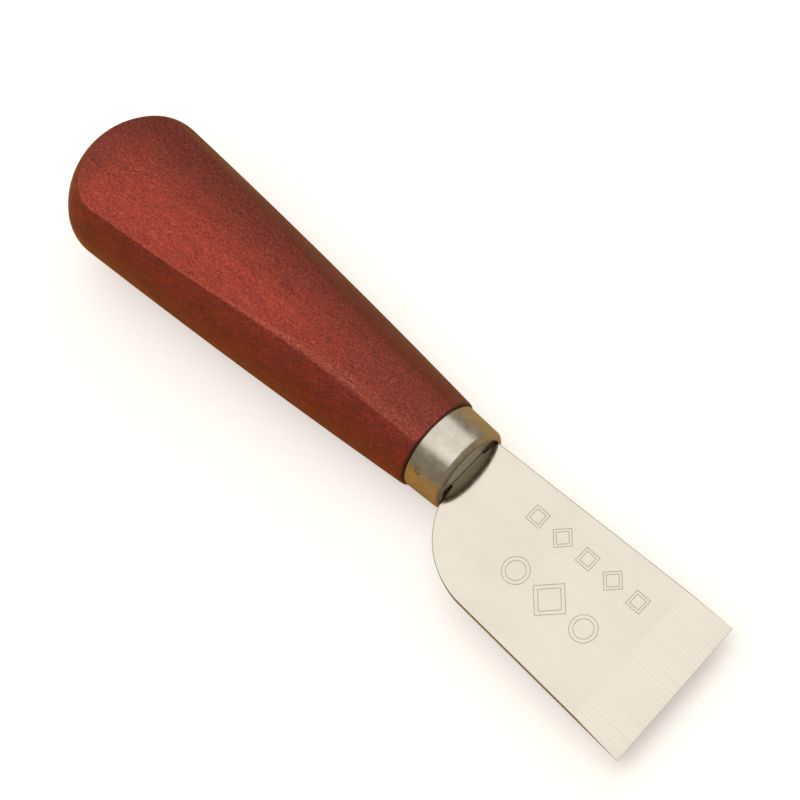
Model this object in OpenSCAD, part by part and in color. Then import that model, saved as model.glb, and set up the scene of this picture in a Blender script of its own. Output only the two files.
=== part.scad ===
// Leather paring knife: a broad single-bevel blade set in a turned wooden
// handle with a steel ferrule. Millimetres.
//
// The frame: +X runs along the handle's axis from the butt to the cutting edge,
// +Z is the normal of the bevelled blade face, and the lower flat of the handle
// lies on z = 0. The origin is on that flat, straight below the handle's axis,
// origin_x in front of the butt end.
//
// Each module below is drawn about the handle's axis, with x = 0 at the butt
// end and z = 0 on the axis, and in_frame() moves it into the frame.

/* [Overall] */
// Length of the wood that shows, from the butt end to the ferrule
handle_len = 103; // [80:0.1:130]
// Length of the blade that shows, from the ferrule's rim to the edge, on the axis
blade_len = 63.6; // [48:0.1:90]
// Distance of the frame's origin from the butt end
origin_x = 40; // [30:1:50]

/* [Handle] */
// Diameter of the turned wood at its belly, near the butt
belly_d = 34.4; // [30:0.1:42]
// Distance of the belly from the butt end
belly_x = 14; // [12:0.5:18]
// How far the side's curve stands above the ferrule where they meet
neck_step = 0.5; // [0.4:0.05:3]
// Height of the side's outward curve between the belly and the ferrule
side_bulge = 0.5; // [0.2:0.05:1.5]
// How much larger the radius of the domed butt end is than the belly's radius
butt_ease = 1.8; // [1:0.1:20]
// Radius that rounds the butt end into the side
butt_corner_r = 10.5; // [5:0.5:13]
// Distance of the lower flat from the handle's axis
flat_low = 12.2; // [10:0.1:14.5]
// Distance of the upper flat from the handle's axis, at the butt end
flat_high = 10.5; // [9:0.1:13]
// Angle at which the upper flat rises from the butt end
flat_rise = 1.2; // [0:0.1:2]
// Roll of the upper flat about the handle's axis, away from the wide side
flat_roll = 6.5; // [0:0.5:10]
// Distance from the butt end at which the flats start to fall away
flat_len = 66; // [50:1:75]
// How far each flat has fallen at the ferrule
flat_fall = 1.4; // [0.8:0.1:2]
// Radius that rounds the wood over towards the ferrule
nose_r = 4; // [3:0.5:18]
// How far behind the ferrule that rounding starts
nose_len = 1.5; // [1:0.1:2.5]

/* [Ferrule] */
// Length of the ferrule, from the wood to the front of its lip
ferrule_len = 9.4; // [7:0.1:14]
// Outer diameter at the wood
ferrule_rear_d = 20.7; // [19:0.1:21.5]
// Outer diameter at the lip
ferrule_front_d = 20.1; // [18.5:0.1:20.6]
// Thickness of the ferrule's sheet steel
ferrule_wall = 0.85; // [0.6:0.05:1.1]
// Outer radius of the lip that is rolled in over the end plate
lip_r = 1.55; // [1.15:0.05:1.8]
// Edge break on the ferrule's rear rim
rim_break = 0.25; // [0.1:0.05:0.4]
// Radial gap between the wooden tenon and the ferrule
tenon_gap = 0.05; // [0.02:0.01:0.2]
// Diameter of the punched dimple that stakes the ferrule to the tenon
stake_d = 1.5; // [0.8:0.1:2]
// Depth of the dimple
stake_depth = 0.3; // [0.1:0.05:0.5]
// Distance of the dimple from the ferrule's rear rim
stake_x = 3; // [2:0.1:4]
// Angle of the dimple round the axis, from straight up towards the wide side
stake_angle = 52; // [20:1:90]

/* [End plate] */
// Thickness of the end plate
plate_t = 0.9; // [0.6:0.05:1.5]
// Gap between the plate and the ferrule
plate_gap = 0.05; // [0.02:0.01:0.15]
// Gap all round the tang in the plate's slot
slot_gap = 0.12; // [0.05:0.01:0.3]

/* [Blade] */
// Thickness of the blade
blade_t = 2.2; // [1.6:0.1:3.2]
// Length of the cutting edge
edge_w = 36; // [30:0.5:45]
// Share of the edge's length above the axis, on the straight side
edge_up = 10.9; // [9:0.1:14]
// Slant of the cutting edge from square
edge_slant = 2; // [0:0.5:8]
// Flare of the wide side, against the axis
wide_flare = 3.4; // [1:0.1:5]
// Width of the ground bevel behind the edge
bevel_w = 12; // [6:0.5:16]
// Thickness left at the cutting edge
edge_land = 0.12; // [0.05:0.01:0.3]
// How far inside the ferrule's outer edge the blade's straight side starts
root_up_in = 1.65; // [1:0.05:2.1]
// How far inside the ferrule's outer edge the blade's wide side starts
root_down_in = 0.35; // [-0.5:0.05:1.5]
// Radius of the shoulder on the wide side
shoulder_r = 20; // [16:0.5:26]
// How far in front of the rim the blade's outer shoulders lie
shoulder_gap = 0.25; // [0.1:0.05:0.6]
// How far behind the rim the shoulders meet the tang
shoulder_set = 0.55; // [0.2:0.05:0.7]
// Gap between the blade's neck and the lip that it passes through
neck_gap = 0.6; // [0.3:0.05:1]

/* [Tang] */
// Width of the tang at the blade
tang_w = 9.6; // [8:0.1:11]
// Width of the tang at its buried end
tang_end_w = 6.5; // [4:0.1:8]
// Length of the tang behind the ferrule's rim
tang_len = 58; // [40:1:68]
// Thickness of the adhesive all round the tang
glue_gap = 0.35; // [0.2:0.05:0.6]

/* [Hidden] */

$fn = 96;
arc_steps = 14;
side_steps = 16;
nose_steps = 6;
BIG = 400;

function unit(v) = v / norm(v);

// points along an arc round centre c, from a to b, without a itself
function arc_points(c, a, b, steps) =
    let (
        from = atan2(a[1] - c[1], a[0] - c[0]),
        to = atan2(b[1] - c[1], b[0] - c[0])
    )
    [for (i = [1:steps]) c + norm(a - c) * [cos(from + (to - from) * i / steps), sin(from + (to - from) * i / steps)]];

// the centre of a circle of radius r through a and b, on their right-hand side
function arc_centre(a, b, r) =
    let (
        half = (b - a) / 2,
        side = unit([half[1], -half[0]])
    )
    a + half + side * sqrt(r * r - half * half);

// the crossing of two circles that lies higher
function circles_meet(c1, r1, c2, r2) =
    let (
        gap = c2 - c1,
        d = norm(gap),
        along = (d * d + r1 * r1 - r2 * r2) / (2 * d),
        across = sqrt(r1 * r1 - along * along),
        ux = gap / d,
        uy = [-ux[1], ux[0]],
        p = c1 + ux * along + uy * across,
        q = c1 + ux * along - uy * across
    )
    p[1] > q[1] ? p : q;

// The side of the turned wood is one arc from the belly to the neck.
belly = [belly_x, belly_d / 2];
neck = [handle_len, ferrule_rear_d / 2 + neck_step];
side_chord = norm(neck - belly);
side_r = (side_chord * side_chord / 4 + side_bulge * side_bulge) / (2 * side_bulge);
side_c = arc_centre(belly, neck, side_r);

// The butt is a dome, and a smaller arc leads it into the side.
butt_dome_r = belly_d / 2 + butt_ease;
dome_c = [butt_dome_r, 0];
corner_c = circles_meet(dome_c, butt_dome_r - butt_corner_r, side_c, side_r - butt_corner_r);
corner_from = dome_c + unit(corner_c - dome_c) * butt_dome_r;
corner_to = side_c + unit(corner_c - side_c) * side_r;

// The nose rounding starts on the side arc, nose_len behind the ferrule.
nose_x = handle_len - nose_len;
nose_c = [nose_x, side_c[1] + sqrt(pow(side_r - nose_r, 2) - pow(nose_x - side_c[0], 2))];
nose_from = side_c + unit(nose_c - side_c) * side_r;
nose_to = [handle_len, nose_c[1] + sqrt(nose_r * nose_r - nose_len * nose_len)];

// Each flat falls away on an arc that starts level.
fall_run = handle_len - flat_len;
fall_r = (fall_run * fall_run + flat_fall * flat_fall) / (2 * flat_fall);

// Stations along the axis
rim_x = handle_len + ferrule_len;
plate_front = rim_x - ferrule_wall - plate_gap;
plate_back = plate_front - plate_t;
lip_start = rim_x - lip_r;
tang_end = rim_x - tang_len;
edge_x = rim_x + blade_len;

// The ferrule's inside follows its outside, one wall further in.
rear_in = ferrule_rear_d / 2 - ferrule_wall;
front_in = ferrule_front_d / 2 - ferrule_wall;
opening_r = ferrule_front_d / 2 - lip_r;
function ferrule_in(x) = rear_in + (front_in - rear_in) * (x - handle_len) / (lip_start - handle_len);
function ferrule_out(x) = ferrule_in(x) + ferrule_wall;

// Corners of the cutting edge, and the wide side that runs back from the lower one
edge_dir = [-sin(edge_slant), cos(edge_slant)];
edge_top = [edge_x, 0] + edge_dir * edge_up;
edge_low = [edge_x, 0] - edge_dir * (edge_w - edge_up);
wide_dir = [-cos(wide_flare), sin(wide_flare)];
wide_in = [sin(wide_flare), cos(wide_flare)];

// The neck passes through the lip, and the blade starts wider than that in front of it.
neck_half = sqrt(opening_r * opening_r - blade_t * blade_t / 4) - neck_gap;
root_up = ferrule_front_d / 2 - root_up_in;
root_down = ferrule_front_d / 2 - root_down_in;

// The shoulder arc starts at the ferrule and runs tangent into the wide side.
shoulder_from = [rim_x + shoulder_gap, -root_down];
shoulder_a = edge_low + wide_in * shoulder_r - shoulder_from;
shoulder_b = shoulder_a * wide_dir;
shoulder_run = -shoulder_b
    - sqrt(shoulder_b * shoulder_b - shoulder_a * shoulder_a + shoulder_r * shoulder_r);
shoulder_to = edge_low + wide_dir * shoulder_run;
shoulder_c = shoulder_to + wide_in * shoulder_r;

module in_frame() {
    translate([-origin_x, 0, flat_low]) children();
}

// turns an outline drawn as (distance along the axis, radius) round the axis
module turned() {
    rotate([0, 90, 0]) rotate_extrude() mirror([1, -1]) children();
}

// half of the turned wood, without its tenon
module wood_outline() {
    polygon(concat(
        [[0, 0]],
        arc_points(dome_c, [0, 0], corner_from, arc_steps),
        arc_points(corner_c, corner_from, corner_to, arc_steps),
        arc_points(side_c, corner_to, nose_from, side_steps),
        arc_points(nose_c, nose_from, nose_to, nose_steps),
        [[handle_len, 0]]
    ));
}

// what lies under a flat, seen from the handle's side: the flat starts at a height of level
// above the axis, rises by rise degrees and falls away towards the ferrule
module under_flat(level, rise) {
    crest = level + flat_len * tan(rise);
    rotate([90, 0, 0])
    linear_extrude(BIG, center = true)
    polygon(concat(
        [[-1, -belly_d], [-1, level - tan(rise)], [flat_len, crest]],
        arc_points([flat_len, crest - fall_r], [flat_len, crest], [handle_len, crest - flat_fall], side_steps),
        [[handle_len, -belly_d]]
    ));
}

// the tang with grow added all round it, up to x = reach
module tang_outline(grow, reach) {
    back = tang_end - grow;
    slope = (tang_w - tang_end_w) / 2 / (plate_back - tang_end);
    half_back = tang_end_w / 2 + grow - slope * grow;
    half_front = tang_w / 2 + grow;
    polygon([
        [back, -half_back],
        [plate_back, -half_front],
        [reach, -half_front],
        [reach, half_front],
        [plate_back, half_front],
        [back, half_back]
    ]);
}

module tang_block(grow, reach) {
    linear_extrude(blade_t + 2 * grow, center = true) tang_outline(grow, reach);
}

// Handle: turned wood with two flats, a tenon for the ferrule and a pocket for the tang
module handle() {
    tenon_rear = ferrule_in(handle_len) - tenon_gap;
    tenon_front = ferrule_in(plate_back) - tenon_gap;
    color("#8f3327")
    in_frame()
    difference() {
        union() {
            intersection() {
                turned() wood_outline();
                rotate([-flat_roll, 0, 0]) under_flat(flat_high, flat_rise);
                mirror([0, 0, 1]) under_flat(flat_low, 0);
            }
            turned()
            polygon([
                [handle_len - 1, 0],
                [handle_len - 1, tenon_rear],
                [handle_len, tenon_rear],
                [plate_back, tenon_front],
                [plate_back, 0]
            ]);
        }
        tang_block(glue_gap, plate_back + 1);
    }
}

// Ferrule: a tapered steel sleeve whose front is rolled in over the end plate
module ferrule() {
    bend_c = [lip_start, opening_r];
    color("#c9c4b6")
    in_frame()
    difference() {
        union() {
            turned()
            polygon([
                [handle_len, rear_in],
                [handle_len, ferrule_out(handle_len) - rim_break],
                [handle_len + rim_break, ferrule_out(handle_len + rim_break)],
                [lip_start, ferrule_out(lip_start)],
                [lip_start, front_in]
            ]);
            turned()
            intersection() {
                difference() {
                    translate(bend_c) circle(lip_r);
                    translate(bend_c) circle(lip_r - ferrule_wall);
                }
                translate(bend_c) square(lip_r);
            }
        }
        stake_cut();
    }
}

// the ball-ended punch that leaves the dimple
module stake_cut() {
    ball_r = (stake_d * stake_d / 4 + stake_depth * stake_depth) / (2 * stake_depth);
    skin = ferrule_out(handle_len + stake_x);
    rotate([stake_angle, 0, 0])
    translate([handle_len + stake_x, 0, skin - stake_depth + ball_r])
    sphere(ball_r);
}

// half of the end plate; its front edge is rounded to nest in the bend of the lip
module plate_outline() {
    nest_r = lip_r - ferrule_wall - plate_gap;
    intersection() {
        union() {
            translate([lip_start, opening_r]) circle(nest_r);
            square([plate_front, opening_r]);
            square([lip_start, opening_r + nest_r]);
        }
        translate([plate_back, 0]) square([plate_t, belly_d]);
    }
}

// End plate: a slotted disc held between the tenon and the lip
module end_plate() {
    color("#d8d4c8")
    in_frame()
    difference() {
        turned() plate_outline();
        translate([plate_back + plate_t / 2, 0, 0])
        cube([plate_t + 2, tang_w + 2 * slot_gap, blade_t + 2 * slot_gap], center = true);
    }
}

// Adhesive: the cured bedding between the tang and the pocket in the wood
module tang_adhesive() {
    color("#b89a5c")
    in_frame()
    difference() {
        tang_block(glue_gap, plate_back);
        tang_block(0, plate_back + 1);
    }
}

// the blade and its tang seen from above
module blade_outline() {
    polygon([
        shoulder_from,
        shoulder_to,
        edge_low,
        edge_top,
        [shoulder_from[0], root_up],
        [rim_x, neck_half],
        [rim_x - shoulder_set, tang_w / 2],
        [rim_x - shoulder_set, -tang_w / 2],
        [rim_x, -neck_half]
    ]);
    intersection() {
        translate(shoulder_c) circle(shoulder_r);
        translate([shoulder_from[0], shoulder_to[1]])
        square([shoulder_to[0] - shoulder_from[0], shoulder_from[1] - shoulder_to[1]]);
    }
    tang_outline(0, rim_x);
}

// what the grinder takes off the upper face, as a wedge behind the edge
module bevel_cut() {
    drop = blade_t - edge_land;
    over = 5;
    translate([edge_x, 0, 0])
    rotate([90, 0, edge_slant])
    linear_extrude(4 * edge_w, center = true)
    polygon([
        [-bevel_w, blade_t / 2],
        [over, blade_t / 2 - drop * (bevel_w + over) / bevel_w],
        [over, blade_t],
        [-bevel_w, blade_t]
    ]);
}

// Blade: one flat plate, bevelled on its upper face only
module blade() {
    color("#e6e0d4")
    in_frame()
    difference() {
        linear_extrude(blade_t, center = true) blade_outline();
        bevel_cut();
    }
}

handle();
ferrule();
end_plate();
tang_adhesive();
blade();
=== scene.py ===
import math

import bpy
import numpy as np
from mathutils import Matrix, Vector
from mathutils.geometry import delaunay_2d_cdt


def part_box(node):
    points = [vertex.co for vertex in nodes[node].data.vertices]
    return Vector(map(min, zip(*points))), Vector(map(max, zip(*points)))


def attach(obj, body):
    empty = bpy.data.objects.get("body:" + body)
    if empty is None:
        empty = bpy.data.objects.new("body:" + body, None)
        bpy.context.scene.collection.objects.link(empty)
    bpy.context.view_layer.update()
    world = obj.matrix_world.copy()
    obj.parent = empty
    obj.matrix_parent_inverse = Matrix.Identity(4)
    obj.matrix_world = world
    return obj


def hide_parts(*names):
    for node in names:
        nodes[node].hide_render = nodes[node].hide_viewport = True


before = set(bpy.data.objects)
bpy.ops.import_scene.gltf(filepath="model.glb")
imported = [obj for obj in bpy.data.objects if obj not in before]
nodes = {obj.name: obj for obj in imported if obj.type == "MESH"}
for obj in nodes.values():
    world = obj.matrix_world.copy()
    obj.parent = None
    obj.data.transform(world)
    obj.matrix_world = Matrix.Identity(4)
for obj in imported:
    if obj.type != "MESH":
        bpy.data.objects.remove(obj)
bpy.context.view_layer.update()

MM = 0.001

# ---------------------------------------------------------------- places from the frame
HANDLE_LO, HANDLE_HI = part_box("handle")
FERRULE_LO, FERRULE_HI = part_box("ferrule")
PLATE_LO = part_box("end_plate")[0]
GLUE_LO, GLUE_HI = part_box("tang_adhesive")
BLADE_LO, BLADE_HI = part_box("blade")
AXIS_Z = (FERRULE_LO.z + FERRULE_HI.z) / 2
BUTT_X = HANDLE_LO.x
NECK_X = FERRULE_LO.x
RIM_X = FERRULE_HI.x
BELLY_R = (HANDLE_HI.y - HANDLE_LO.y) / 2
FLAT_LOW = AXIS_Z - HANDLE_LO.z
BLADE_T = BLADE_HI.z - BLADE_LO.z

# ---------------------------------------------------------------- sizes, as in the part's source
BELLY_X = 14 * MM
NECK_STEP = 0.5 * MM
SIDE_BULGE = 0.5 * MM
BUTT_EASE = 1.8 * MM
BUTT_CORNER_R = 10.5 * MM
FLAT_HIGH = 10.5 * MM
FLAT_RISE = math.radians(1.2)
FLAT_ROLL = math.radians(6.5)
FLAT_LEN = 66 * MM
FLAT_FALL = 1.4 * MM
NOSE_R = 4 * MM
NOSE_LEN = 1.5 * MM
FERRULE_REAR_R = 10.35 * MM
FERRULE_FRONT_R = 10.05 * MM
FERRULE_WALL = 0.85 * MM
LIP_R = 1.55 * MM
TENON_GAP = 0.05 * MM
STAKE_X = 3 * MM
STAKE_ANGLE = math.radians(52)
STAKE_R = 0.75 * MM
EDGE_W = 36 * MM
EDGE_UP = 10.9 * MM
EDGE_SLANT = math.radians(2)
WIDE_FLARE = math.radians(3.4)
BEVEL_W = 12 * MM
EDGE_LAND = 0.12 * MM
ROOT_UP = FERRULE_FRONT_R - 1.65 * MM
ROOT_DOWN = FERRULE_FRONT_R - 0.35 * MM
SHOULDER_R = 20 * MM
SHOULDER_GAP = 0.25 * MM
SHOULDER_SET = 0.55 * MM
NECK_GAP = 0.6 * MM
TANG_HALF = 4.8 * MM
TANG_END_HALF = 3.25 * MM
HANDLE_LEN = NECK_X - BUTT_X
LIP_START = RIM_X - LIP_R
OPENING_R = FERRULE_FRONT_R - LIP_R

# ---------------------------------------------------------------- sizes of the finer meshes
# The flats are very slightly crowned, and face these angles round the handle's axis.
FLAT_CROWN_R = 380 * MM
UPPER_TURN = math.pi / 2 - FLAT_ROLL
LOWER_TURN = -math.pi / 2
UPPER_NORMAL = Vector((-math.sin(FLAT_RISE), math.sin(FLAT_ROLL), math.cos(FLAT_ROLL)))
# The ridges beside the flats are crisp near the butt and rounder towards the neck.
RIDGE_EASE = 0.35 * MM
RIDGE_EASE_GROWTH = 2.6 * MM
RIDGE_CRISP_LEN = 35 * MM
NECK_BREAK = 0.45 * MM
POCKET_GAP = 0.3 * MM
SLEEVE_BREAK = 0.4 * MM
SLEEVE_LAND = 0.1 * MM
LIP_BREAK = 0.12 * MM
LIP_SAG = 0.004 * MM
STAKE_DENT = 0.05 * MM
STAKE_CREST = 0.02 * MM
# How far the dent and its crest reach, and where the crest is, in radii of the stake
DENT_REACH = 0.8
CREST_REACH = 0.28
CREST_AT = 1.15
# The plate's edges are eased, and less so where it is thin.
PLATE_BREAK = 0.14 * MM
BREAK_SHARE = 0.33
THIN_EDGE = 0.2 * MM
THIN_BREAK = 0.03 * MM
GROOVE_W = 0.17 * MM
GROOVE_DEPTH = 0.03 * MM
BAND_W = 0.85 * MM
RIPPLE_W = 0.85 * MM

# Steps along the arcs, and points round the turned pieces
DOME_STEPS = 34
CORNER_STEPS = 26
SIDE_STEPS = 110
NOSE_STEPS = 9
BREAK_STEPS = 5
SLEEVE_STEPS = 44
SLEEVE_BREAK_STEPS = 7
LIP_STEPS = 20
LIP_BREAK_STEPS = 6
LIP_INNER_STEPS = 12
SHOULDER_STEPS = 40
HANDLE_AROUND = 300
FERRULE_AROUND = 320
BISECTIONS = 40


# ---------------------------------------------------------------- mesh helpers
def make_piece(name, verts, faces, stands_for, sharp=35):
    """A smooth-shaded mesh object on the knife's one body, in place of a CAD node."""
    mesh = bpy.data.meshes.new(name)
    mesh.from_pydata(verts, [], faces)
    mesh.validate()
    mesh.polygons.foreach_set("use_smooth", [True] * len(mesh.polygons))
    mesh.set_sharp_from_angle(angle=math.radians(sharp))
    piece = bpy.data.objects.new(name, mesh)
    bpy.context.scene.collection.objects.link(piece)
    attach(piece, "root")
    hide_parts(stands_for)
    return piece


def ring_faces(rows, around, first=0, closed=False):
    """Quads between consecutive rings of a lathe or loft."""
    faces = []
    for i in range(rows if closed else rows - 1):
        a = first + i * around
        b = first + ((i + 1) % rows) * around
        for j in range(around):
            k = (j + 1) % around
            faces.append((a + j, b + j, b + k, a + k))
    return faces


def ring(x, radius, turns):
    """A ring of points round the handle's axis. The radius is one value or one for each."""
    return np.stack([np.full(len(turns), x), radius * np.cos(turns), AXIS_Z + radius * np.sin(turns)], 1)


def unit(v):
    return v / np.linalg.norm(v)


def arc(centre, a, b, steps):
    """Points along an arc round centre, from a to b, without a itself."""
    from_turn = math.atan2(a[1] - centre[1], a[0] - centre[0])
    to_turn = math.atan2(b[1] - centre[1], b[0] - centre[0])
    r = math.dist(a, centre)
    turns = [from_turn + (to_turn - from_turn) * i / steps for i in range(1, steps + 1)]
    return [(centre[0] + r * math.cos(t), centre[1] + r * math.sin(t)) for t in turns]


# ---------------------------------------------------------------- the wooden handle
def handle_profile():
    """Stations (distance from the butt, radius) along the turned wood: the dome of the
    butt, its rounded corner, the long bulged side, the nose at the neck and its edge."""
    belly = np.array([BELLY_X, BELLY_R])
    neck = np.array([HANDLE_LEN, FERRULE_REAR_R + NECK_STEP])
    half = (neck - belly) / 2
    inward = unit(np.array([half[1], -half[0]]))
    side_r = (half @ half + SIDE_BULGE ** 2) / (2 * SIDE_BULGE)
    side_c = belly + half + inward * math.sqrt(side_r ** 2 - half @ half)
    dome_r = BELLY_R + BUTT_EASE
    dome_c = np.array([dome_r, 0.0])
    # the corner touches both, so its centre is one corner radius inside each
    r1 = dome_r - BUTT_CORNER_R
    r2 = side_r - BUTT_CORNER_R
    gap = side_c - dome_c
    d = np.linalg.norm(gap)
    along = (d * d + r1 * r1 - r2 * r2) / (2 * d)
    across = math.sqrt(r1 * r1 - along * along)
    ux = gap / d
    uy = np.array([-ux[1], ux[0]])
    foot = dome_c + ux * along
    corner_c = max(foot + uy * across, foot - uy * across, key=lambda p: p[1])
    corner_from = dome_c + unit(corner_c - dome_c) * dome_r
    corner_to = side_c + unit(corner_c - side_c) * side_r
    nose_x = HANDLE_LEN - NOSE_LEN
    nose_y = side_c[1] + math.sqrt((side_r - NOSE_R) ** 2 - (nose_x - side_c[0]) ** 2)
    nose_c = np.array([nose_x, nose_y])
    nose_from = side_c + unit(nose_c - side_c) * side_r
    break_x = HANDLE_LEN - NECK_BREAK
    nose_to = (break_x, nose_y + math.sqrt(NOSE_R ** 2 - (NOSE_LEN - NECK_BREAK) ** 2))
    end_r = nose_y + math.sqrt(NOSE_R ** 2 - NOSE_LEN ** 2)
    break_r = end_r - NECK_BREAK
    pts = arc(dome_c, (0, 1e-6), corner_from, DOME_STEPS)
    pts += arc(corner_c, corner_from, corner_to, CORNER_STEPS)
    pts += arc(side_c, corner_to, nose_from, SIDE_STEPS)
    pts += arc(nose_c, nose_from, nose_to, NOSE_STEPS)
    pts += arc((break_x, break_r), (break_x, end_r), (HANDLE_LEN, break_r), BREAK_STEPS)
    return pts


def flat_levels(x):
    """Distances of the upper and the lower flat from the axis, at a distance from the butt."""
    run = HANDLE_LEN - FLAT_LEN
    fall_r = (run * run + FLAT_FALL * FLAT_FALL) / (2 * FLAT_FALL)
    past = max(x - FLAT_LEN, 0.0)
    fall = fall_r - math.sqrt(fall_r ** 2 - past ** 2)
    upper = FLAT_HIGH + min(x, FLAT_LEN) * math.tan(FLAT_RISE)
    return upper - fall, FLAT_LOW - fall


def section_radius(radius, upper, lower, ease, turns):
    """Radii of the section at the angles turns: a circle cut by the two flats, with its
    ridges rounded over the width ease. They are found by halving."""
    lo = np.zeros_like(turns)
    hi = np.full_like(turns, radius)
    for _ in range(BISECTIONS):
        r = (lo + hi) / 2
        past_round = r - radius
        past_flats = np.full_like(turns, -radius)
        for level, facing in ((upper, UPPER_TURN), (lower, LOWER_TURN)):
            up = r * np.cos(turns - facing) + FLAT_CROWN_R - level
            past_flat = np.hypot(up, r * np.sin(turns - facing)) - FLAT_CROWN_R
            past_flats = np.maximum(past_flats, past_flat)
        rounding = np.maximum(ease - np.abs(past_round - past_flats), 0) ** 2 / (4 * ease)
        past = np.maximum(past_round, past_flats) + rounding
        lo = np.where(past < 0, r, lo)
        hi = np.where(past < 0, hi, r)
    return (lo + hi) / 2


def ridge_ease(x, radius):
    """The width over which the ridges are rounded, at a distance from the butt."""
    share = max(0.0, (x - RIDGE_CRISP_LEN) / (HANDLE_LEN - RIDGE_CRISP_LEN))
    return min(RIDGE_EASE + RIDGE_EASE_GROWTH * share ** 1.5, radius / 3)


def ridge_turns(radius, upper, lower):
    """Angles round the section, closest together at its four ridges."""
    crowding = 5
    spread = math.radians(5)
    least_reach = math.radians(6)
    t = np.linspace(0, 2 * math.pi, 4001)
    density = np.ones_like(t)
    for level, facing in ((upper, UPPER_TURN), (lower, LOWER_TURN)):
        reach = math.acos(min(level / radius, math.cos(least_reach)))
        for ridge in (facing - reach, facing + reach):
            off = np.abs((t - ridge + math.pi) % (2 * math.pi) - math.pi)
            density += crowding * np.exp(-((off / spread) ** 2))
    total = np.concatenate([[0], np.cumsum((density[1:] + density[:-1]) / 2)])
    return np.interp(np.arange(HANDLE_AROUND) * total[-1] / HANDLE_AROUND, total, t)


def slot_ring(x, half_y, half_z, turns):
    """A rectangular ring round the handle's axis, for the tang's pocket."""
    to_side = half_y / np.maximum(np.abs(np.cos(turns)), 1e-9)
    to_top = half_z / np.maximum(np.abs(np.sin(turns)), 1e-9)
    return ring(x, np.minimum(to_side, to_top), turns)


def make_handle():
    rings = []
    for x, radius in handle_profile():
        upper, lower = flat_levels(x)
        turns = ridge_turns(radius, upper, lower)
        r = section_radius(radius, upper, lower, ridge_ease(x, radius), turns)
        rings.append(ring(BUTT_X + x, r, turns))
    # the tenon inside the ferrule, its front face and the tang's pocket
    pocket_y = (GLUE_HI.y - GLUE_LO.y) / 2
    pocket_z = (GLUE_HI.z - GLUE_LO.z) / 2
    rings.append(ring(NECK_X, FERRULE_REAR_R - FERRULE_WALL - TENON_GAP, turns))
    rings.append(ring(HANDLE_HI.x, FERRULE_FRONT_R - FERRULE_WALL - TENON_GAP, turns))
    rings.append(slot_ring(HANDLE_HI.x, pocket_y, pocket_z, turns))
    rings.append(slot_ring(GLUE_LO.x, TANG_END_HALF + POCKET_GAP, pocket_z, turns))
    around = HANDLE_AROUND
    verts = [(BUTT_X, 0.0, AXIS_Z)]
    verts += [tuple(p) for points in rings for p in points.tolist()]
    faces = [(0, 1 + j, 1 + (j + 1) % around) for j in range(around)]
    faces += ring_faces(len(rings), around, 1)
    last = len(verts) - around
    verts.append((GLUE_LO.x, 0.0, AXIS_Z))
    faces += [(last + (j + 1) % around, last + j, len(verts) - 1) for j in range(around)]
    faces = [f[::-1] for f in faces]
    return make_piece("handle_wood", verts, faces, "handle")


# ---------------------------------------------------------------- the ferrule
def ferrule_profile():
    """The closed outline (x, radius) of the sleeve's wall: the broken rear edge, the
    tapered skin, the lip that is rolled in, and back along the inside."""
    rear_in = FERRULE_REAR_R - FERRULE_WALL
    front_in = FERRULE_FRONT_R - FERRULE_WALL
    break_x = NECK_X + SLEEVE_BREAK
    break_r = FERRULE_REAR_R - SLEEVE_BREAK
    length = LIP_START - break_x
    taper = FERRULE_FRONT_R - FERRULE_REAR_R
    bend = (LIP_START, OPENING_R)
    tip_x = RIM_X - LIP_BREAK
    tip_r = OPENING_R + LIP_BREAK
    inside_lip = (RIM_X - FERRULE_WALL, OPENING_R)
    pts = [(NECK_X, rear_in + SLEEVE_LAND)]
    pts += arc((break_x, break_r), (NECK_X, break_r), (break_x, FERRULE_REAR_R), SLEEVE_BREAK_STEPS)
    for i in range(1, SLEEVE_STEPS + 1):
        pts.append((break_x + length * i / SLEEVE_STEPS, FERRULE_REAR_R + taper * i / SLEEVE_STEPS))
    pts += arc(bend, (LIP_START, FERRULE_FRONT_R), (RIM_X - LIP_SAG, tip_r), LIP_STEPS)
    pts += arc((tip_x, tip_r), (RIM_X, tip_r), (tip_x, OPENING_R), LIP_BREAK_STEPS)
    pts.append(inside_lip)
    pts += arc(bend, inside_lip, (LIP_START, front_in), LIP_INNER_STEPS)
    pts.append((NECK_X, rear_in))
    return pts


def stake_dent(x, r, turns):
    """How far the stake pushes the skin in, less the crest that it raises round itself."""
    away = np.hypot(x - NECK_X - STAKE_X, (turns - math.pi / 2 - STAKE_ANGLE) * r) / STAKE_R
    dent = STAKE_DENT * np.exp(-((away / DENT_REACH) ** 2))
    crest = STAKE_CREST * np.exp(-(((away - CREST_AT) / CREST_REACH) ** 2))
    return dent - crest


def make_ferrule():
    pts = ferrule_profile()
    turns = np.arange(FERRULE_AROUND) * 2 * math.pi / FERRULE_AROUND
    verts = []
    for x, r in pts:
        radius = np.full(FERRULE_AROUND, r)
        on_skin = r > FERRULE_FRONT_R - FERRULE_WALL / 2 and x < LIP_START
        if on_skin:
            radius -= stake_dent(x, r, turns)
        verts += ring(x, radius, turns).tolist()
    faces = [f[::-1] for f in ring_faces(len(pts), FERRULE_AROUND, closed=True)]
    return make_piece("ferrule_sleeve", verts, faces, "ferrule")


# ---------------------------------------------------------------- the blade
EDGE_DIR = np.array([-math.sin(EDGE_SLANT), math.cos(EDGE_SLANT)])
EDGE_OUT = np.array([math.cos(EDGE_SLANT), math.sin(EDGE_SLANT)])


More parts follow.
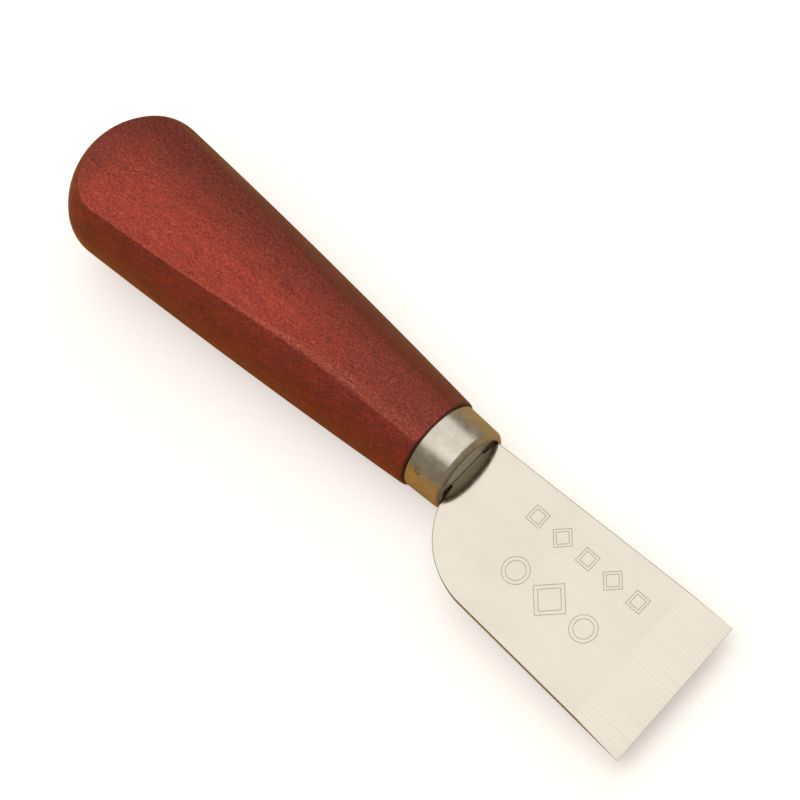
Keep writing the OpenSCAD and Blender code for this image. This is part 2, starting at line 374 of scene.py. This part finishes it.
def blade_outline():
    """The blade and its tang from above, counter-clockwise. Also gives the middle of the
    cutting edge and the two points of the outline where the bevel starts."""
    # the lower corner of the slanted edge is the blade's furthest point
    edge_down = EDGE_W - EDGE_UP
    edge_mid = np.array([BLADE_HI.x - edge_down * math.sin(EDGE_SLANT), 0.0])
    edge_top = edge_mid + EDGE_DIR * EDGE_UP
    edge_low = edge_mid - EDGE_DIR * edge_down
    # the wide side's shoulder is an arc from the root, tangent to the straight flare
    wide_dir = np.array([-math.cos(WIDE_FLARE), math.sin(WIDE_FLARE)])
    wide_in = np.array([math.sin(WIDE_FLARE), math.cos(WIDE_FLARE)])
    start = np.array([RIM_X + SHOULDER_GAP, -ROOT_DOWN])
    to_centre = edge_low + wide_in * SHOULDER_R - start
    back = to_centre @ wide_dir
    run = -back - math.sqrt(back * back - to_centre @ to_centre + SHOULDER_R ** 2)
    meet = edge_low + wide_dir * run
    centre = meet + wide_in * SHOULDER_R
    root_top = np.array([RIM_X + SHOULDER_GAP, ROOT_UP])
    neck_half = math.sqrt(OPENING_R ** 2 - BLADE_T ** 2 / 4) - NECK_GAP
    shoulder_x = RIM_X - SHOULDER_SET
    plate_back = PLATE_LO.x

    def bevel_start(p, q):
        before, after = ((v - edge_mid) @ EDGE_OUT + BEVEL_W for v in (p, q))
        return p + (q - p) * (-before / (after - before))

    pts = [tuple(start)]
    pts += arc(centre, start, meet, SHOULDER_STEPS)
    bevel_low = len(pts)
    pts += [tuple(bevel_start(meet, edge_low)), tuple(edge_low), tuple(edge_top)]
    bevel_high = len(pts)
    pts += [tuple(bevel_start(root_top, edge_top)), tuple(root_top), (RIM_X, neck_half)]
    pts += [(shoulder_x, TANG_HALF), (plate_back, TANG_HALF), (BLADE_LO.x, TANG_END_HALF)]
    pts += [(BLADE_LO.x, -TANG_END_HALF), (plate_back, -TANG_HALF), (shoulder_x, -TANG_HALF)]
    pts += [(RIM_X, -neck_half)]
    return np.array(pts), edge_mid, (bevel_low, bevel_high)


def inset(points, by):
    """The outline moved inwards by a distance at each point, with mitred corners."""
    ahead = np.roll(points, -1, 0) - points
    ahead /= np.linalg.norm(ahead, axis=1)[:, None]
    in_ahead = np.stack([-ahead[:, 1], ahead[:, 0]], 1)
    mitre = in_ahead + np.roll(in_ahead, 1, 0)
    mitre /= (mitre * in_ahead).sum(1)[:, None]
    return points + mitre * by[:, None]


def inside(p, loop):
    """Whether a point lies in a closed loop of points."""
    x, y = p
    a = np.asarray(loop)
    b = np.roll(a, -1, 0)
    cross = (a[:, 1] > y) != (b[:, 1] > y)
    with np.errstate(divide="ignore", invalid="ignore"):
        at = a[:, 0] + (y - a[:, 1]) * (b[:, 0] - a[:, 0]) / (b[:, 1] - a[:, 1])
    return bool((cross & (x < at)).sum() % 2)


# The etched ornament is plain shapes: (sides, centre x from the rim, centre y, radius,
# turn), in mm and degrees. One with 60 sides is round, and one over LARGE has a full band.
ETCHED = [(60, 22.0, -9.5, 3.1, 0), (4, 31.5, -9.5, 3.3, 0), (60, 41.0, -9.5, 3.1, 0)]
ETCHED += [(4, 17.5 + 14 * i, 2.0, 1.9, 45) for i in range(3)]
ETCHED += [(4, 24.5 + 14 * i, 2.0, 2.0, 0) for i in range(2)]
LARGE = 2.5


def etched_loops():
    """Pairs of (outer, inner) loops, one pair for each thin groove. Each shape is a band
    between two grooves, and the band is narrower on the small shapes."""
    pairs = []
    for sides, x, y, size, turn in ETCHED:
        corner = 1 / math.cos(math.pi / sides)
        turns = [math.radians(turn) + 2 * math.pi * i / sides for i in range(sides)]

        def loop(r):
            reach = r * corner
            return [(RIM_X + x * MM + reach * math.cos(t), y * MM + reach * math.sin(t)) for t in turns]

        outer = size * MM
        inner = outer - BAND_W * (1.0 if size > LARGE else 0.7)
        pairs.append((loop(outer), loop(outer - GROOVE_W)))
        pairs.append((loop(inner), loop(inner - GROOVE_W)))
    return pairs


def upper_height(points, edge_mid):
    """Heights of the blade's upper face, which is level and then falls along the bevel."""
    past = (points - edge_mid) @ EDGE_OUT + BEVEL_W
    return BLADE_HI.z - (BLADE_T - EDGE_LAND) * np.maximum(past, 0) / BEVEL_W


def loop_edges(first, count):
    """Pairs of point numbers round a closed loop."""
    return [(first + i, first + (i + 1) % count) for i in range(count)]


def triangulate(rim, bevel_line, pairs):
    """Points and triangles of the upper face, with the bevel's line and the etched loops
    as edges. Also gives the numbers of the rim's points among them."""
    flat = [Vector(p) for p in rim.tolist()]
    edges = loop_edges(0, len(rim)) + [bevel_line]
    for loop in (loop for pair in pairs for loop in pair):
        edges += loop_edges(len(flat), len(loop))
        flat += [Vector(p) for p in loop]
    out, _, tris, origin, _, _ = delaunay_2d_cdt(flat, edges, [], 1, 1e-9)
    points = np.array([tuple(v) for v in out])

    def faces_up(t):
        a, b, c = points[list(t)]
        return np.cross(b - a, c - a) > 0

    tris = [t if faces_up(t) else t[::-1] for t in tris]
    place = {o[0]: i for i, o in enumerate(origin) if o and o[0] < len(rim)}
    return points, tris, [place[i] for i in range(len(rim))]


def sunk_triangles(points, tris, pairs):
    """Whether each triangle lies in a groove, between the two loops of a pair."""
    reach = [(np.array(outer).min(0), np.array(outer).max(0)) for outer, _ in pairs]

    def in_groove(p):
        for (outer, hole), (lo, hi) in zip(pairs, reach):
            if (p > lo).all() and (p < hi).all() and inside(p, outer) and not inside(p, hole):
                return True
        return False

    return [in_groove(points[list(t)].mean(0)) for t in tris]


def make_blade():
    outline, edge_mid, bevel_line = blade_outline()
    n = len(outline)
    heights = upper_height(outline, edge_mid)
    thick = heights - BLADE_LO.z
    ease = np.minimum(PLATE_BREAK, BREAK_SHARE * thick)
    ease[thick < THIN_EDGE] = THIN_BREAK
    inner = inset(outline, ease)
    pairs = etched_loops()
    points, tris, rim = triangulate(inner, bevel_line, pairs)
    sunk = sunk_triangles(points, tris, pairs)
    verts = []

    def add(flat_points, z):
        first = len(verts)
        verts.extend((p[0], p[1], float(h)) for p, h in zip(flat_points, z))
        return first

    back = add(inner, np.full(n, BLADE_LO.z))
    low = add(outline, BLADE_LO.z + ease)
    high = add(outline, heights - ease)
    top = add(points, upper_height(points, edge_mid))
    faces = [tuple(back + i for i in range(n))[::-1]]
    for a, b in ((back, low), (low, high)):
        faces += [(a + i, a + j, b + j, b + i) for i, j in loop_edges(0, n)]

    # the triangles in a groove are sunk, with walls down to them
    sunk_copy = {}
    sunk_beside = {}
    for t, down in zip(tris, sunk):
        for a, b in zip(t, t[1:] + t[:1]):
            sunk_beside[a, b] = down
            if down and a not in sunk_copy:
                sunk_copy[a] = add([points[a]], [verts[top + a][2] - GROOVE_DEPTH])
    for t, down in zip(tris, sunk):
        faces.append(tuple(sunk_copy[v] if down else top + v for v in t))
        for a, b in zip(t, t[1:] + t[:1]):
            if not down and sunk_beside.get((b, a)):
                faces.append((top + b, top + a, sunk_copy[a], sunk_copy[b]))
    faces += [(high + i, high + j, top + rim[j], top + rim[i]) for i, j in loop_edges(0, n)]
    return make_piece("blade_plate", verts, faces, "blade", sharp=12)


handle_wood = make_handle()
ferrule_sleeve = make_ferrule()
blade_plate = make_blade()


# ---------------------------------------------------------------- materials
class Mat:
    """Builds a material. Each method adds a node and returns an output of it."""

    def __init__(self, name):
        self.mat = bpy.data.materials.new(name)
        self.mat.use_nodes = True
        self.tree = self.mat.node_tree
        self.shader = self.tree.nodes["Principled BSDF"]
        place = self.tree.nodes.new("ShaderNodeTexCoord")
        self.coords = place.outputs["Object"]
        self.facing = place.outputs["Normal"]

    def put(self, socket, value):
        if isinstance(value, bpy.types.NodeSocket):
            self.tree.links.new(value, socket)
        else:
            socket.default_value = value

    def node(self, kind, out=0, props=None, **inputs):
        """An input is named with _ for a space, or with _ and its number."""
        node = self.tree.nodes.new(kind)
        for key, value in (props or {}).items():
            setattr(node, key, value)
        for key, value in inputs.items():
            key = int(key[1:]) if key[0] == "_" else key.replace("_", " ")
            self.put(node.inputs[key], value)
        return node.outputs[out]

    def stretch(self, scale, shift=(0, 0, 0)):
        """Object coordinates scaled along X, Y and Z: 1000 gives features of about 1 mm."""
        return self.node("ShaderNodeMapping", Vector=self.coords, Scale=scale, Location=shift)

    def noise(self, vector, detail=4.0, rough=0.55, warp=0.0):
        return self.node(
            "ShaderNodeTexNoise",
            Vector=vector, Scale=1.0, Detail=detail, Roughness=rough, Distortion=warp,
        )

    def cells(self, vector):
        return self.node(
            "ShaderNodeTexVoronoi", props={"feature": "F1"}, Vector=vector, Scale=1.0, Randomness=1.0
        )

    def math(self, kind, a, b=0.5):
        return self.node("ShaderNodeMath", props={"operation": kind}, _0=a, _1=b)

    def vector_math(self, kind, a, b):
        return self.node("ShaderNodeVectorMath", out=1, props={"operation": kind}, _0=a, _1=b)

    def times(self, a, b):
        return self.math("MULTIPLY", a, b)

    def plus(self, a, b):
        return self.math("ADD", a, b)

    def minus(self, a, b):
        return self.math("SUBTRACT", a, b)

    def fit(self, value, lo, hi, to_lo=0.0, to_hi=1.0, smooth=True):
        """The range lo..hi of a value brought to to_lo..to_hi, and held at its ends."""
        kind = "SMOOTHSTEP" if smooth else "LINEAR"
        return self.node(
            "ShaderNodeMapRange",
            props={"interpolation_type": kind},
            Value=value, From_Min=lo, From_Max=hi, To_Min=to_lo, To_Max=to_hi,
        )

    def fade(self, value, lo, hi):
        """1 below lo, falling to 0 at hi."""
        return self.fit(value, lo, hi, 1.0, 0.0)

    def mix(self, amount, a, b, kind="MIX"):
        node = self.tree.nodes.new("ShaderNodeMix")
        node.data_type = "RGBA"
        node.blend_type = kind
        self.put(node.inputs["Factor"], amount)
        for socket, value in ((node.inputs[6], a), (node.inputs[7], b)):
            self.put(socket, value if isinstance(value, bpy.types.NodeSocket) else (*value, 1.0))
        return node.outputs[2]

    def bump(self, height, depth, normal=None):
        """A height of 0..1 over a depth in metres, on top of an earlier bump."""
        node = self.tree.nodes.new("ShaderNodeBump")
        node.inputs["Strength"].default_value = 1.0
        node.inputs["Distance"].default_value = depth
        self.put(node.inputs["Height"], height)
        if normal:
            self.put(node.inputs["Normal"], normal)
        return node.outputs[0]

    def split(self, vector):
        """The X, Y and Z of a vector."""
        node = self.tree.nodes.new("ShaderNodeSeparateXYZ")
        self.put(node.inputs[0], vector)
        return node.outputs

    def finish(self, piece, **inputs):
        for key, value in inputs.items():
            self.put(self.shader.inputs[key.replace("_", " ")], value)
        piece.data.materials.clear()
        piece.data.materials.append(self.mat)


def wood():
    m = Mat("lacquered_wood")
    x, y, z = m.split(m.coords)
    # broad figure of the board, drawn out along the handle
    figure = m.noise(m.stretch((9, 60, 60), (0.3, 0.1, 0.2)), detail=5.0, rough=0.5, warp=0.6)
    streaks = m.noise(m.stretch((26, 420, 420)), detail=4.0, rough=0.6, warp=0.3)
    mottle = m.noise(m.stretch((240, 420, 420), (1, 2, 3)), detail=4.0, rough=0.65)
    colour = m.mix(m.fit(figure, 0.33, 0.68), (0.43, 0.048, 0.026), (0.64, 0.074, 0.038))
    colour = m.mix(m.fit(streaks, 0.42, 0.74, 0.0, 0.45), colour, (0.26, 0.022, 0.012))
    colour = m.mix(m.fit(mottle, 0.4, 0.75, 0.0, 0.35), colour, (0.70, 0.095, 0.040))
    # the turned sides are painted darker than the milled flats, as shade
    facing_up = m.vector_math("DOT_PRODUCT", m.facing, UPPER_NORMAL)
    facing_down = m.times(m.split(m.facing)[2], -1.0)
    on_flat = m.fit(m.math("MAXIMUM", facing_up, facing_down), 0.89, 0.975)
    turned = m.mix(m.fit(mottle, 0.35, 0.65), (0.225, 0.012, 0.0015), (0.33, 0.019, 0.002))
    colour = m.mix(on_flat, turned, colour)
    # a painted highlight along the ridge on the wide side and on that side of the neck, where the wood is
    # also a little glossier
    polish_and_highlight = m.times(m.fit(facing_up, 0.90, 0.95), m.fade(facing_up, 0.975, 0.995))
    polish_and_highlight = m.times(polish_and_highlight, m.fade(y, -2 * MM, 0.0))
    colour = m.mix(m.times(polish_and_highlight, 0.45), colour, (0.70, 0.15, 0.09))
    # the flats are darker towards the neck, and painted shade darkens them round the butt
    to_neck = m.fit(x, NECK_X - 45 * MM, NECK_X - 4 * MM, 0.0, 0.5)
    to_butt = m.fit(x, BUTT_X + 1 * MM, BUTT_X + 13 * MM, 0.85, 0.0)
    darker_ends = m.times(m.math("MAXIMUM", to_neck, to_butt), on_flat)
    colour = m.mix(darker_ends, colour, (0.25, 0.038, 0.028))
    # painted shade, darker towards the straight side, with an edge that wanders with the figure
    wander = m.times(m.minus(figure, 0.5), 12 * MM)
    straight_side_shade = m.fit(m.plus(y, wander), -3 * MM, 13 * MM)
    colour = m.mix(m.times(straight_side_shade, 0.85), colour, (0.15, 0.011, 0.005))
    # short dark pores along the grain, in patches
    patch = m.noise(m.stretch((80, 300, 300), (4, 5, 6)), detail=2.0)
    pore = m.times(m.fade(m.cells(m.stretch((900, 4600, 4600))), 0.14, 0.34), m.fit(patch, 0.38, 0.56))
    colour = m.mix(m.times(pore, 0.5), colour, (0.06, 0.010, 0.007))
    # painted shade in the gap where the wood meets the ferrule
    joint_shade = m.fit(x, NECK_X - 0.6 * MM, NECK_X - 0.2 * MM, 0.0, 0.85)
    colour = m.mix(joint_shade, colour, (0.025, 0.007, 0.005))
    # fine speckle of the grain under the stain
    speckle = m.noise(m.stretch((1500, 2600, 2600), (6, 4, 2)), detail=3.0, rough=0.8)
    colour = m.mix(1.0, colour, m.fit(speckle, 0.3, 0.7, 1.55, 0.45, smooth=False), "MULTIPLY")
    # a few pale specks of dust in the lacquer
    chance = m.noise(m.stretch((140, 140, 140), (7, 8, 9)), detail=1.0)
    speck = m.times(m.fade(m.cells(m.stretch((330, 330, 330))), 0.05, 0.1), m.fit(chance, 0.6, 0.64))
    colour = m.mix(m.times(speck, 0.45), colour, (0.62, 0.33, 0.24))
    # orange peel of the lacquer over the faint ripples of the grain
    ripple = m.noise(m.stretch((90, 900, 900), (3, 1, 2)), detail=3.0)
    peel = m.noise(m.stretch((1100, 1700, 1700)), detail=4.0, rough=0.75, warp=0.5)
    normal = m.bump(ripple, 0.08 * MM)
    normal = m.bump(peel, 0.6 * MM, normal)
    normal = m.bump(m.minus(1.0, pore), 0.08 * MM, normal)
    gloss = m.noise(m.stretch((60, 160, 160), (2, 2, 2)), detail=3.0)
    rough = m.minus(m.fit(gloss, 0.3, 0.7, 0.34, 0.48), m.times(polish_and_highlight, 0.1))
    m.finish(handle_wood, Base_Color=colour, Roughness=rough, Specular_IOR_Level=0.6, Normal=normal)


def ferrule_steel():
    m = Mat("ferrule_steel")
    x, y, z = m.split(m.coords)
    above = m.minus(z, AXIS_Z)
    blotch = m.noise(m.stretch((420, 420, 420)), detail=5.0, rough=0.65)
    colour = m.mix(m.fit(blotch, 0.35, 0.7), (0.43, 0.415, 0.385), (0.535, 0.515, 0.48))
    # a broken ring of grime round the stake
    stake = Vector((
        NECK_X + STAKE_X,
        -FERRULE_REAR_R * math.sin(STAKE_ANGLE),
        AXIS_Z + FERRULE_REAR_R * math.cos(STAKE_ANGLE),
    ))
    away = m.vector_math("DISTANCE", m.coords, stake)
    grime = m.noise(m.stretch((2600, 2600, 2600)), detail=3.0, rough=0.7)
    soiled = m.times(m.fit(away, 0.3 * MM, 0.6 * MM), m.fade(away, 0.7 * MM, 1.05 * MM))
    soiled = m.times(soiled, m.fit(grime, 0.45, 0.6))
    colour = m.mix(m.times(soiled, 0.8), colour, (0.12, 0.10, 0.07))
    # painted shade on the inside of the lip
    radius = m.math("SQRT", m.plus(m.math("POWER", y, 2.0), m.math("POWER", above, 2.0)))
    inside_lip = m.fade(x, RIM_X - FERRULE_WALL, RIM_X - 0.35 * MM)
    inner = m.times(m.fade(radius, OPENING_R + 0.1 * MM, OPENING_R + 0.3 * MM), inside_lip)
    colour = m.mix(m.times(inner, 0.85), colour, (0.05, 0.04, 0.03))
    # shallow dents, blotches, and fine lines round the sleeve
    dents = m.noise(m.stretch((170, 230, 230), (5, 5, 5)), detail=2.0)
    turn = m.math("ARCTAN2", above, y)
    ringed = m.node("ShaderNodeCombineXYZ", X=m.times(x, 9000.0), Y=m.times(turn, 14.0), Z=0.0)
    lines = m.noise(ringed, detail=3.0, rough=0.6)
    normal = m.bump(dents, 0.02 * MM)
    normal = m.bump(blotch, 0.004 * MM, normal)
    normal = m.bump(lines, 0.003 * MM, normal)
    rough = m.fit(blotch, 0.3, 0.7, 0.26, 0.36)
    m.finish(ferrule_sleeve, Base_Color=colour, Metallic=1.0, Roughness=rough, Normal=normal)


def plate_steel():
    m = Mat("plate_steel")
    x, y, z = m.split(m.coords)
    cloud = m.noise(m.stretch((500, 500, 500)), detail=4.0)
    colour = m.mix(m.fit(cloud, 0.3, 0.7), (0.60, 0.575, 0.52), (0.74, 0.71, 0.65))
    # painted shade along the slot, and in the two gaps beside the blade's neck
    off_axis = m.math("ABSOLUTE", m.minus(z, AXIS_Z))
    slot = m.fade(off_axis, BLADE_T / 2 + 0.1 * MM, BLADE_T / 2 + 0.5 * MM)
    beside = m.fit(m.math("ABSOLUTE", y), TANG_HALF + 0.6 * MM, TANG_HALF + 1.6 * MM)
    low = m.fade(z, AXIS_Z + 0.5 * BLADE_T, AXIS_Z + BLADE_T)
    slot_shade = m.math("MAXIMUM", slot, m.times(beside, low))
    colour = m.mix(m.times(slot_shade, 0.9), colour, (0.04, 0.032, 0.025))
    grain = m.noise(m.stretch((900, 6000, 900)), detail=4.0, rough=0.6)
    rough = m.fit(cloud, 0.3, 0.7, 0.3, 0.42)
    normal = m.bump(grain, 0.008 * MM)
    m.finish(nodes["end_plate"], Base_Color=colour, Metallic=0.55, Roughness=rough, Normal=normal)


def cured_adhesive():
    m = Mat("cured_adhesive")
    cloud = m.noise(m.stretch((700, 700, 700)), detail=4.0)
    colour = m.mix(m.fit(cloud, 0.3, 0.7), (0.30, 0.18, 0.06), (0.46, 0.30, 0.11))
    rough = m.fit(cloud, 0.3, 0.7, 0.15, 0.35)
    m.finish(nodes["tang_adhesive"], Base_Color=colour, Roughness=rough, Normal=m.bump(cloud, 0.05 * MM))


def blade_steel():
    m = Mat("blade_steel")
    x, y, z = m.split(m.coords)
    # fine grinding lines that run along the blade
    lines = m.noise(m.stretch((60, 9000, 60)), detail=4.0, rough=0.65)
    broad = m.noise(m.stretch((14, 520, 14), (1, 1, 1)), detail=3.0)
    cloud = m.noise(m.stretch((60, 90, 60)), detail=4.0, rough=0.6)
    colour = m.mix(m.fit(cloud, 0.3, 0.7), (0.555, 0.535, 0.495), (0.585, 0.565, 0.53))
    colour = m.mix(m.fit(lines, 0.45, 0.75, 0.0, 0.3), colour, (0.46, 0.44, 0.40))
    # the grooves of the ornament are a little below the flat of the upper face
    height = m.minus(z, BLADE_HI.z)
    below = m.fit(height, -0.9 * GROOVE_DEPTH, -0.3 * GROOVE_DEPTH, 1.0, 0.0, smooth=False)
    above = m.fit(height, -2 * GROOVE_DEPTH, -1.5 * GROOVE_DEPTH, smooth=False)
    flat_end = BLADE_HI.x - BEVEL_W - 2 * MM
    before_bevel = m.fit(x, flat_end - 0.2 * MM, flat_end, 1.0, 0.0, smooth=False)
    groove = m.times(m.times(below, above), before_bevel)
    colour = m.mix(m.times(groove, 0.75), colour, (0.30, 0.27, 0.22))
    # the bevel is ground brighter, in fine ripples across the stone's path
    along = m.plus(x, m.times(y, math.tan(EDGE_SLANT)))
    edge_x = BLADE_HI.x - (EDGE_W - EDGE_UP) * math.sin(EDGE_SLANT)
    bevel_x = edge_x - BEVEL_W / math.cos(EDGE_SLANT)
    on_bevel = m.fit(along, bevel_x - 0.4 * MM, bevel_x + 0.6 * MM)
    ripple = m.math("SINE", m.plus(m.times(y, 2 * math.pi / RIPPLE_W), m.times(broad, 14.0)))
    colour = m.mix(m.times(on_bevel, 0.7), colour, (0.61, 0.585, 0.55))
    colour = m.mix(m.times(m.fit(ripple, -1.0, 1.0, 0.0, 0.25), on_bevel), colour, (0.50, 0.475, 0.44))
    # the upright sides of the plate are darker
    upright = m.math("ABSOLUTE", m.split(m.facing)[2])
    colour = m.mix(m.fit(upright, 0.35, 0.75, 0.75, 0.0), colour, (0.10, 0.09, 0.08))
    rough = m.plus(m.fit(broad, 0.3, 0.7, 0.09, 0.14), m.times(groove, 0.3))
    normal = m.bump(lines, 0.0022 * MM)
    normal = m.bump(broad, 0.006 * MM, normal)
    m.finish(blade_plate, Base_Color=colour, Metallic=1.0, Roughness=rough, Normal=normal)


wood()
ferrule_steel()
plate_steel()
cured_adhesive()
blade_steel()

# ---------------------------------------------------------------- floor
# The floor touches the fall-away of the lower flat, so it lies at a small angle in the
# knife's own frame. This is worked out lengthwise only, and leaves out any sideways roll.
REST_Z = 0.88 * MM
REST_X = 55 * MM
REST_SLOPE = math.radians(3.45)
FLOOR_HALF = 3.0
# The camera sees a pale floor. The knife reflects a warmer one, most so on the wide side.
FLOOR_SEEN = (0.9, 0.9, 0.9, 1)
FLOOR_GLOW = 0.45
FLOOR_WARM = (0.80, 0.48, 0.155, 1)
FLOOR_LESS_WARM = (0.72, 0.50, 0.24, 1)


def floor_material():
    mat = bpy.data.materials.new("floor")
    mat.use_nodes = True
    tree = mat.node_tree
    tree.nodes.clear()
    out = tree.nodes.new("ShaderNodeOutputMaterial")
    path = tree.nodes.new("ShaderNodeLightPath")
    seen = tree.nodes.new("ShaderNodeBsdfDiffuse")
    seen.inputs["Color"].default_value = FLOOR_SEEN
    glow = tree.nodes.new("ShaderNodeEmission")
    glow.inputs["Strength"].default_value = FLOOR_GLOW
    pale = tree.nodes.new("ShaderNodeAddShader")
    place = tree.nodes.new("ShaderNodeTexCoord")
    split = tree.nodes.new("ShaderNodeSeparateXYZ")
    side = tree.nodes.new("ShaderNodeMapRange")
    side.inputs["From Min"].default_value = -10 * MM
    side.inputs["From Max"].default_value = 20 * MM
    tint = tree.nodes.new("ShaderNodeMix")
    tint.data_type = "RGBA"
    tint.inputs[6].default_value = FLOOR_WARM
    tint.inputs[7].default_value = FLOOR_LESS_WARM
    warm = tree.nodes.new("ShaderNodeBsdfDiffuse")
    mix = tree.nodes.new("ShaderNodeMixShader")
    for source, socket in (
        (seen.outputs[0], pale.inputs[0]),
        (glow.outputs[0], pale.inputs[1]),
        (place.outputs["Object"], split.inputs[0]),
        (split.outputs["Y"], side.inputs["Value"]),
        (side.outputs[0], tint.inputs["Factor"]),
        (tint.outputs[2], warm.inputs["Color"]),
        (path.outputs["Is Camera Ray"], mix.inputs[0]),
        (warm.outputs[0], mix.inputs[1]),
        (pale.outputs[0], mix.inputs[2]),
        (mix.outputs[0], out.inputs[0]),
    ):
        tree.links.new(source, socket)
    return mat


def make_floor():
    half = FLOOR_HALF
    mesh = bpy.data.meshes.new("floor")
    corners = [(-half, -half, 0), (half, -half, 0), (half, half, 0), (-half, half, 0)]
    mesh.from_pydata(corners, [], [(0, 1, 2, 3)])
    mesh.materials.append(floor_material())
    floor = bpy.data.objects.new("floor", mesh)
    floor.location = (REST_X, 0, REST_Z)
    floor.rotation_euler = (0, -REST_SLOPE, 0)
    bpy.context.scene.collection.objects.link(floor)


make_floor()


# ---------------------------------------------------------------- light
def area_light(name, place, aim, width, height, radiance, colour):
    """A rectangular light as bright to look at as radiance, whatever its size."""
    data = bpy.data.lights.new(name, "AREA")
    data.shape = "RECTANGLE"
    data.size = width
    data.size_y = height
    data.energy = radiance * math.pi * width * height
    data.color = colour
    light = bpy.data.objects.new(name, data)
    light.location = place
    light.rotation_euler = (Vector(place) - Vector(aim)).to_track_quat("Z", "Y").to_euler()
    bpy.context.scene.collection.objects.link(light)


def warm_world(colour, strength):
    world = bpy.data.worlds.new("world")
    world.use_nodes = True
    background = world.node_tree.nodes["Background"]
    background.inputs["Color"].default_value = colour
    background.inputs["Strength"].default_value = strength
    bpy.context.scene.world = world


# A wide panel that the blade and the ferrule mirror but the end plate doesn't, and a
# small light that picks out the ridges
LIGHT_Z = 0.8
PANEL_X = -0.36
PANEL_Y = 0.40
PANEL_COLOUR = (1.0, 0.97, 0.925)
KEY_COLOUR = (1.0, 0.97, 0.94)
area_light("overhead", (PANEL_X, PANEL_Y, LIGHT_Z), (PANEL_X, PANEL_Y, 0.0), 1.20, 1.75, 1.12, PANEL_COLOUR)
area_light("key", (0.04, -0.13, LIGHT_Z), (0.05, 0.0, AXIS_Z), 0.12, 0.20, 2.4, KEY_COLOUR)
warm_world((1.0, 0.85, 0.62, 1), 0.36)
bpy.context.scene.view_settings.view_transform = "Standard"

# ---------------------------------------------------------------- camera
# The view leans this far from the blade's normal: towards the edge, and towards
# the side to which the blade flares.
LEAN_LENGTH = math.radians(20.0)
LEAN_SIDE = math.radians(10.0)
# How far the picture turns the handle's axis clockwise from level
AXIS_DROP = math.radians(40.52)
CAMERA_DISTANCE = 0.9
LENS_MM = 194.0
# The middle of the picture, from the ferrule's rear end and the handle's axis
TARGET_BACK = 13 * MM
TARGET_SIDE = 2 * MM


def look_direction():
    """The unit vector from the knife to the camera."""
    return Vector((
        math.sin(LEAN_LENGTH),
        -math.sin(LEAN_SIDE) * math.cos(LEAN_LENGTH),
        math.cos(LEAN_SIDE) * math.cos(LEAN_LENGTH),
    ))


def make_camera():
    back = look_direction()
    along = Vector((1, 0, 0))
    along = (along - along.dot(back) * back).normalized()
    across = back.cross(along)
    right = along * math.cos(AXIS_DROP) + across * math.sin(AXIS_DROP)
    up = across * math.cos(AXIS_DROP) - along * math.sin(AXIS_DROP)
    target = Vector((NECK_X - TARGET_BACK, TARGET_SIDE, AXIS_Z))
    data = bpy.data.cameras.new("camera")
    data.lens = LENS_MM
    camera = bpy.data.objects.new("camera", data)
    bpy.context.scene.collection.objects.link(camera)
    turn = Matrix((right, up, back)).transposed()
    camera.matrix_world = Matrix.Translation(target + back * CAMERA_DISTANCE) @ turn.to_4x4()
    bpy.context.scene.camera = camera


make_camera()
